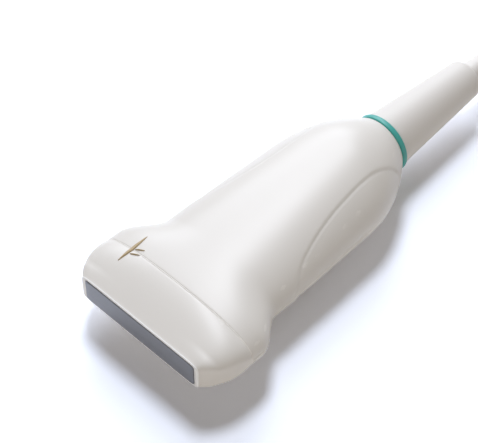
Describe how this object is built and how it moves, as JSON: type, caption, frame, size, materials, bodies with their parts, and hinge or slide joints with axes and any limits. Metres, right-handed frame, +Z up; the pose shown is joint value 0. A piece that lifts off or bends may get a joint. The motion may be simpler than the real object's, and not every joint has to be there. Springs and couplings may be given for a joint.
{
  "type": "ultrasound probe",
  "caption": "Hand-held linear-array ultrasound probe with flat lens, waisted handle, tapered strain relief, stored cable and quarter-turn system connector.",
  "frame": {"origin": "on the resting plane, under the middle of the probe from lens face to strain relief end", "axes": "+Y along the probe from lens to cable, +X across its width, +Z up from the resting plane"},
  "size_m": [0.0778, 0.4057, 0.038],
  "materials": {
    "shell_plastic": "satin moulded plastic",
    "lens_silicone": "satin silicone rubber",
    "ring_plastic": "satin",
    "mark_ink": "satin",
    "boot_elastomer": "matt elastomer",
    "cable_jacket": "matt elastomer",
    "strap_tape": "woven hook-and-loop tape",
    "housing_plastic": "fine textured",
    "knob_plastic": "satin",
    "steel": "turned",
    "bronze": "turned",
    "contact_gold": "plated",
    "board_laminate": "solder mask",
    "connector_plastic": "moulded",
    "flex_film": "polyimide film",
    "piezo_ceramic": "diced",
    "matching_resin": "filled resin",
    "backing_resin": "filled resin",
    "carrier_plastic": "moulded",
    "foil": "copper foil",
    "coax": "bundled",
    "gasket_rubber": "moulded",
    "chassis_metal": "milled"
  },
  "bodies": {
    "probe": {"acoustic_lens": "lens_silicone", "outer_matching_layer": "matching_resin", "inner_matching_layer": "matching_resin", "piezo_array": "piezo_ceramic", "backing_block": "backing_resin", "array_carrier": "carrier_plastic", "upper_flex_circuit": "flex_film", "lower_flex_circuit": "flex_film", "nosepiece": "shell_plastic", "nose_gasket": "gasket_rubber", "orientation_mark": "mark_ink", "upper_handle_shell": "shell_plastic", "lower_handle_shell": "shell_plastic", "board_chassis": "chassis_metal", "upper_board": "board_laminate", "lower_board": "board_laminate", "board_connectors": "connector_plastic", "board_screws": "steel", "shield_sleeve": "foil", "coax_bundle": "coax", "cable_clamp": "carrier_plastic", "clamp_screws": "steel", "shield_ferrule": "steel", "identification_ring": "ring_plastic", "strain_relief_boot": "boot_elastomer", "cable_lead": "cable_jacket", "cable_hank": "cable_jacket", "cable_tail": "cable_jacket", "hank_strap": "strap_tape", "connector_boot": "boot_elastomer", "front_housing": "housing_plastic", "rear_housing": "housing_plastic", "contact_block": "connector_plastic", "contact_pins": "contact_gold", "connector_board": "board_laminate", "connector_gasket": "gasket_rubber", "connector_clamp": "carrier_plastic", "housing_screws": "steel", "shaft_bush": "bronze"},
    "lock": {"lock_shaft": "steel", "lock_pin": "steel", "retaining_ring": "steel", "lock_knob": "knob_plastic", "knob_screw": "steel"}
  },
  "joints": [
    {"name": "lock_turn", "type": "hinge", "parent": "probe", "child": "lock", "pos_m": [0.012, 0.302, 0.019], "axis": [1, 0, 0], "range_deg": [0, 90]}
  ]
}
